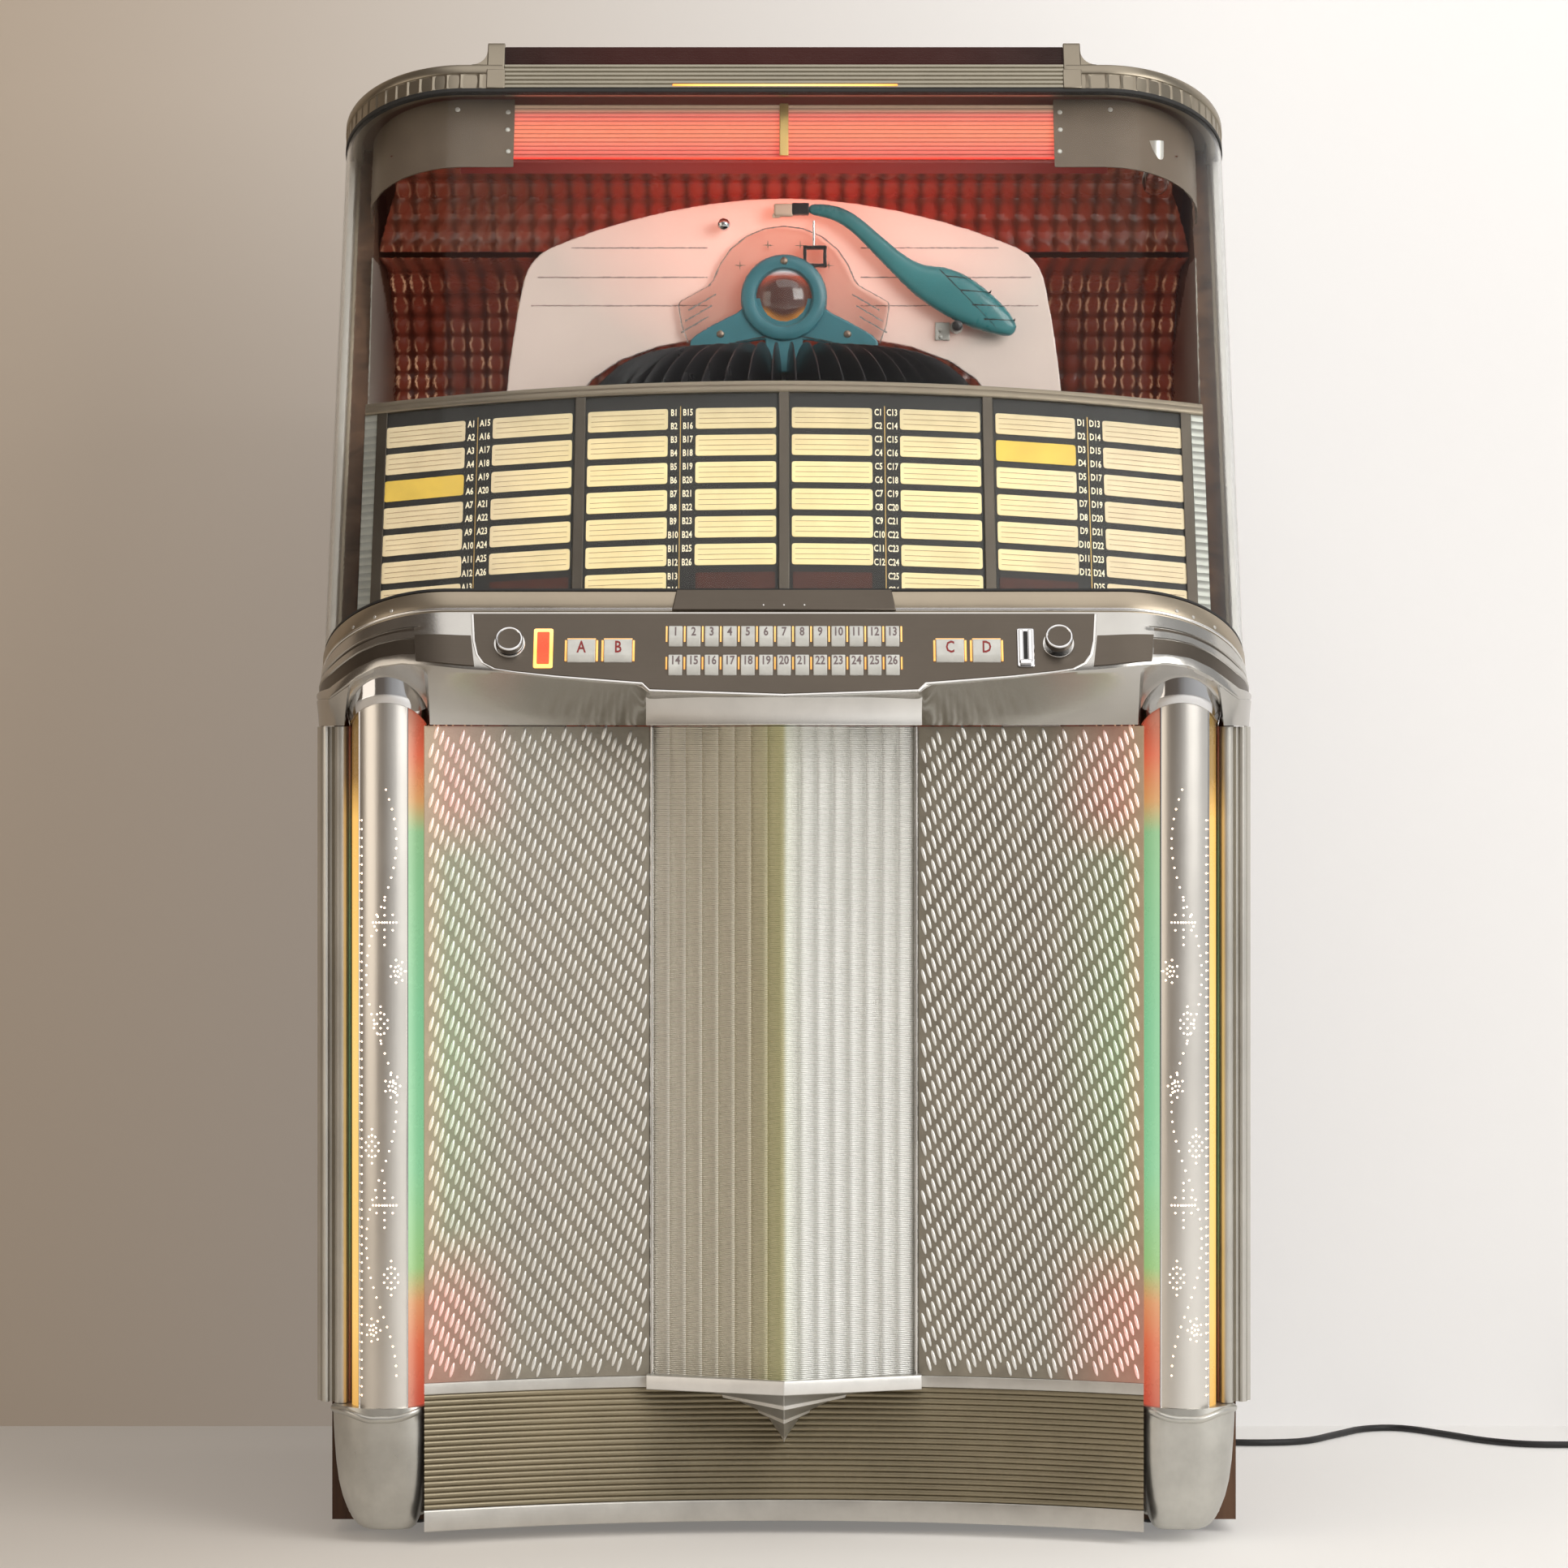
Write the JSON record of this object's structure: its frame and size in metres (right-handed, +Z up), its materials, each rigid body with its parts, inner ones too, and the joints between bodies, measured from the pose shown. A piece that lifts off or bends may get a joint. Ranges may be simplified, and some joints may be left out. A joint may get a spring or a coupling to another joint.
{
  "type": "jukebox",
  "caption": "Floor-standing coin-operated record player with a hinged glass lid, push-button selector, record carousel and lit columns",
  "frame": {"origin": "on the floor under the middle of the cabinet, cord not counted", "axes": "+Z up, front towards -Y, +X to the viewer's right"},
  "size_m": [1.3936, 0.8098, 1.3615],
  "materials": {
    "wood": "satin lacquer over brown grain",
    "column_metal": "brushed silver sleeve with fine perforations over lit lenses",
    "cast_aluminium": "polished casting, slightly dulled",
    "grille_metal": "embossed metallised mesh in brown and silver",
    "golden_metal": "anodised gold with fine ribs",
    "chrome_trim": "bright plated",
    "title_card": "cream cards in a black frame",
    "board_enamel": "cream enamel",
    "crystal": "quilted dark red with metallic lustre",
    "speaker_black": "black basket and paper cone",
    "chassis_steel": "plated chassis",
    "record_vinyl": "grooved black",
    "arm_teal": "teal enamel",
    "lid_clear": "clear bent pane",
    "key_plastic": "warm white, lit from behind",
    "caster_rubber": "black",
    "cord_rubber": "satin black jacket",
    "plug_plastic": "moulded black with two brass blades"
  },
  "bodies": {
    "cabinet": {"cabinet_shell": "wood", "rear_cover": "wood", "left_light_column": "column_metal", "right_light_column": "column_metal", "left_foot_casting": "cast_aluminium", "right_foot_casting": "cast_aluminium", "left_grille": "grille_metal", "right_grille": "grille_metal", "kick_panel": "golden_metal", "center_pilaster": "golden_metal", "control_band": "chrome_trim", "title_panel": "title_card", "mechanism_board": "board_enamel", "crystal_back": "crystal", "speaker": "speaker_black", "amplifier": "chassis_steel", "strain_relief": "cord_rubber", "cord": "cord_rubber", "cord_coil": "cord_rubber", "cord_plug": "plug_plastic"},
    "lid": {"lid_frame": "chrome_trim", "lid_glass": "lid_clear"},
    "tone_arm": {"tone_arm": "arm_teal"},
    "record_magazine": {"record_magazine": "record_vinyl"},
    "lid_lock_knob": {"lid_lock_knob": "chrome_trim"},
    "coin_return_button": {"coin_return_button": "chrome_trim"},
    "front_left_caster": {"front_left_caster": "caster_rubber"},
    "front_right_caster": {"front_right_caster": "caster_rubber"},
    "rear_left_caster": {"rear_left_caster": "caster_rubber"},
    "rear_right_caster": {"rear_right_caster": "caster_rubber"},
    "number_key_01": {"number_key_01": "key_plastic"},
    "number_key_02": {"number_key_02": "key_plastic"},
    "number_key_03": {"number_key_03": "key_plastic"},
    "number_key_04": {"number_key_04": "key_plastic"},
    "number_key_05": {"number_key_05": "key_plastic"},
    "number_key_06": {"number_key_06": "key_plastic"},
    "number_key_07": {"number_key_07": "key_plastic"},
    "number_key_08": {"number_key_08": "key_plastic"},
    "number_key_09": {"number_key_09": "key_plastic"},
    "number_key_10": {"number_key_10": "key_plastic"},
    "number_key_11": {"number_key_11": "key_plastic"},
    "number_key_12": {"number_key_12": "key_plastic"},
    "number_key_13": {"number_key_13": "key_plastic"},
    "number_key_14": {"number_key_14": "key_plastic"},
    "number_key_15": {"number_key_15": "key_plastic"},
    "number_key_16": {"number_key_16": "key_plastic"},
    "number_key_17": {"number_key_17": "key_plastic"},
    "number_key_18": {"number_key_18": "key_plastic"},
    "number_key_19": {"number_key_19": "key_plastic"},
    "number_key_20": {"number_key_20": "key_plastic"},
    "number_key_21": {"number_key_21": "key_plastic"},
    "number_key_22": {"number_key_22": "key_plastic"},
    "number_key_23": {"number_key_23": "key_plastic"},
    "number_key_24": {"number_key_24": "key_plastic"},
    "number_key_25": {"number_key_25": "key_plastic"},
    "number_key_26": {"number_key_26": "key_plastic"},
    "letter_key_a": {"letter_key_a": "key_plastic"},
    "letter_key_b": {"letter_key_b": "key_plastic"},
    "letter_key_c": {"letter_key_c": "key_plastic"},
    "letter_key_d": {"letter_key_d": "key_plastic"}
  },
  "joints": [
    {"name": "lid_hinge", "type": "hinge", "parent": "cabinet", "child": "lid", "pos_m": [0, 0.32492, 1.14006], "axis": [-1, 0, 0], "range_deg": [0, 35]},
    {"name": "tone_arm_pivot", "type": "hinge", "parent": "cabinet", "child": "tone_arm", "pos_m": [0.162, -0.012, 1.1], "axis": [0, -1, 0], "range_deg": [0, 9]},
    {"name": "magazine_spindle", "type": "hinge", "parent": "cabinet", "child": "record_magazine", "pos_m": [0, 0.033, 0.9], "axis": [0, 0, 1], "continuous": true},
    {"name": "lid_lock_turn", "type": "hinge", "parent": "cabinet", "child": "lid_lock_knob", "pos_m": [-0.24, -0.3199, 0.793], "axis": [0, -0.8778, 0.479], "range_deg": [0, 90]},
    {"name": "coin_return_press", "type": "slide", "parent": "cabinet", "child": "coin_return_button", "axis": [0, 0.8778, -0.479], "range_m": [0, 0.004], "stiffness_N_per_m": 300, "springref_m": -0.003},
    {"name": "front_left_caster_roll", "type": "hinge", "parent": "cabinet", "child": "front_left_caster", "pos_m": [-0.335, -0.155, 0.025], "axis": [1, 0, 0], "continuous": true},
    {"name": "front_right_caster_roll", "type": "hinge", "parent": "cabinet", "child": "front_right_caster", "pos_m": [0.335, -0.155, 0.025], "axis": [1, 0, 0], "continuous": true},
    {"name": "rear_left_caster_roll", "type": "hinge", "parent": "cabinet", "child": "rear_left_caster", "pos_m": [-0.335, 0.275, 0.025], "axis": [1, 0, 0], "continuous": true},
    {"name": "rear_right_caster_roll", "type": "hinge", "parent": "cabinet", "child": "rear_right_caster", "pos_m": [0.335, 0.275, 0.025], "axis": [1, 0, 0], "continuous": true},
    {"name": "number_key_01_press", "type": "slide", "parent": "cabinet", "child": "number_key_01", "axis": [0, 0.8778, -0.479], "range_m": [0, 0.004], "stiffness_N_per_m": 250, "springref_m": -0.003},
    {"name": "number_key_02_press", "type": "slide", "parent": "cabinet", "child": "number_key_02", "axis": [0, 0.8778, -0.479], "range_m": [0, 0.004], "stiffness_N_per_m": 250, "springref_m": -0.003},
    {"name": "number_key_03_press", "type": "slide", "parent": "cabinet", "child": "number_key_03", "axis": [0, 0.8778, -0.479], "range_m": [0, 0.004], "stiffness_N_per_m": 250, "springref_m": -0.003},
    {"name": "number_key_04_press", "type": "slide", "parent": "cabinet", "child": "number_key_04", "axis": [0, 0.8778, -0.479], "range_m": [0, 0.004], "stiffness_N_per_m": 250, "springref_m": -0.003},
    {"name": "number_key_05_press", "type": "slide", "parent": "cabinet", "child": "number_key_05", "axis": [0, 0.8778, -0.479], "range_m": [0, 0.004], "stiffness_N_per_m": 250, "springref_m": -0.003},
    {"name": "number_key_06_press", "type": "slide", "parent": "cabinet", "child": "number_key_06", "axis": [0, 0.8778, -0.479], "range_m": [0, 0.004], "stiffness_N_per_m": 250, "springref_m": -0.003},
    {"name": "number_key_07_press", "type": "slide", "parent": "cabinet", "child": "number_key_07", "axis": [0, 0.8778, -0.479], "range_m": [0, 0.004], "stiffness_N_per_m": 250, "springref_m": -0.003},
    {"name": "number_key_08_press", "type": "slide", "parent": "cabinet", "child": "number_key_08", "axis": [0, 0.8778, -0.479], "range_m": [0, 0.004], "stiffness_N_per_m": 250, "springref_m": -0.003},
    {"name": "number_key_09_press", "type": "slide", "parent": "cabinet", "child": "number_key_09", "axis": [0, 0.8778, -0.479], "range_m": [0, 0.004], "stiffness_N_per_m": 250, "springref_m": -0.003},
    {"name": "number_key_10_press", "type": "slide", "parent": "cabinet", "child": "number_key_10", "axis": [0, 0.8778, -0.479], "range_m": [0, 0.004], "stiffness_N_per_m": 250, "springref_m": -0.003},
    {"name": "number_key_11_press", "type": "slide", "parent": "cabinet", "child": "number_key_11", "axis": [0, 0.8778, -0.479], "range_m": [0, 0.004], "stiffness_N_per_m": 250, "springref_m": -0.003},
    {"name": "number_key_12_press", "type": "slide", "parent": "cabinet", "child": "number_key_12", "axis": [0, 0.8778, -0.479], "range_m": [0, 0.004], "stiffness_N_per_m": 250, "springref_m": -0.003},
    {"name": "number_key_13_press", "type": "slide", "parent": "cabinet", "child": "number_key_13", "axis": [0, 0.8778, -0.479], "range_m": [0, 0.004], "stiffness_N_per_m": 250, "springref_m": -0.003},
    {"name": "number_key_14_press", "type": "slide", "parent": "cabinet", "child": "number_key_14", "axis": [0, 0.8778, -0.479], "range_m": [0, 0.004], "stiffness_N_per_m": 250, "springref_m": -0.003},
    {"name": "number_key_15_press", "type": "slide", "parent": "cabinet", "child": "number_key_15", "axis": [0, 0.8778, -0.479], "range_m": [0, 0.004], "stiffness_N_per_m": 250, "springref_m": -0.003},
    {"name": "number_key_16_press", "type": "slide", "parent": "cabinet", "child": "number_key_16", "axis": [0, 0.8778, -0.479], "range_m": [0, 0.004], "stiffness_N_per_m": 250, "springref_m": -0.003},
    {"name": "number_key_17_press", "type": "slide", "parent": "cabinet", "child": "number_key_17", "axis": [0, 0.8778, -0.479], "range_m": [0, 0.004], "stiffness_N_per_m": 250, "springref_m": -0.003},
    {"name": "number_key_18_press", "type": "slide", "parent": "cabinet", "child": "number_key_18", "axis": [0, 0.8778, -0.479], "range_m": [0, 0.004], "stiffness_N_per_m": 250, "springref_m": -0.003},
    {"name": "number_key_19_press", "type": "slide", "parent": "cabinet", "child": "number_key_19", "axis": [0, 0.8778, -0.479], "range_m": [0, 0.004], "stiffness_N_per_m": 250, "springref_m": -0.003},
    {"name": "number_key_20_press", "type": "slide", "parent": "cabinet", "child": "number_key_20", "axis": [0, 0.8778, -0.479], "range_m": [0, 0.004], "stiffness_N_per_m": 250, "springref_m": -0.003},
    {"name": "number_key_21_press", "type": "slide", "parent": "cabinet", "child": "number_key_21", "axis": [0, 0.8778, -0.479], "range_m": [0, 0.004], "stiffness_N_per_m": 250, "springref_m": -0.003},
    {"name": "number_key_22_press", "type": "slide", "parent": "cabinet", "child": "number_key_22", "axis": [0, 0.8778, -0.479], "range_m": [0, 0.004], "stiffness_N_per_m": 250, "springref_m": -0.003},
    {"name": "number_key_23_press", "type": "slide", "parent": "cabinet", "child": "number_key_23", "axis": [0, 0.8778, -0.479], "range_m": [0, 0.004], "stiffness_N_per_m": 250, "springref_m": -0.003},
    {"name": "number_key_24_press", "type": "slide", "parent": "cabinet", "child": "number_key_24", "axis": [0, 0.8778, -0.479], "range_m": [0, 0.004], "stiffness_N_per_m": 250, "springref_m": -0.003},
    {"name": "number_key_25_press", "type": "slide", "parent": "cabinet", "child": "number_key_25", "axis": [0, 0.8778, -0.479], "range_m": [0, 0.004], "stiffness_N_per_m": 250, "springref_m": -0.003},
    {"name": "number_key_26_press", "type": "slide", "parent": "cabinet", "child": "number_key_26", "axis": [0, 0.8778, -0.479], "range_m": [0, 0.004], "stiffness_N_per_m": 250, "springref_m": -0.003},
    {"name": "letter_key_a_press", "type": "slide", "parent": "cabinet", "child": "letter_key_a", "axis": [0, 0.8778, -0.479], "range_m": [0, 0.004], "stiffness_N_per_m": 250, "springref_m": -0.003},
    {"name": "letter_key_b_press", "type": "slide", "parent": "cabinet", "child": "letter_key_b", "axis": [0, 0.8778, -0.479], "range_m": [0, 0.004], "stiffness_N_per_m": 250, "springref_m": -0.003},
    {"name": "letter_key_c_press", "type": "slide", "parent": "cabinet", "child": "letter_key_c", "axis": [0, 0.8778, -0.479], "range_m": [0, 0.004], "stiffness_N_per_m": 250, "springref_m": -0.003},
    {"name": "letter_key_d_press", "type": "slide", "parent": "cabinet", "child": "letter_key_d", "axis": [0, 0.8778, -0.479], "range_m": [0, 0.004], "stiffness_N_per_m": 250, "springref_m": -0.003}
  ]
}
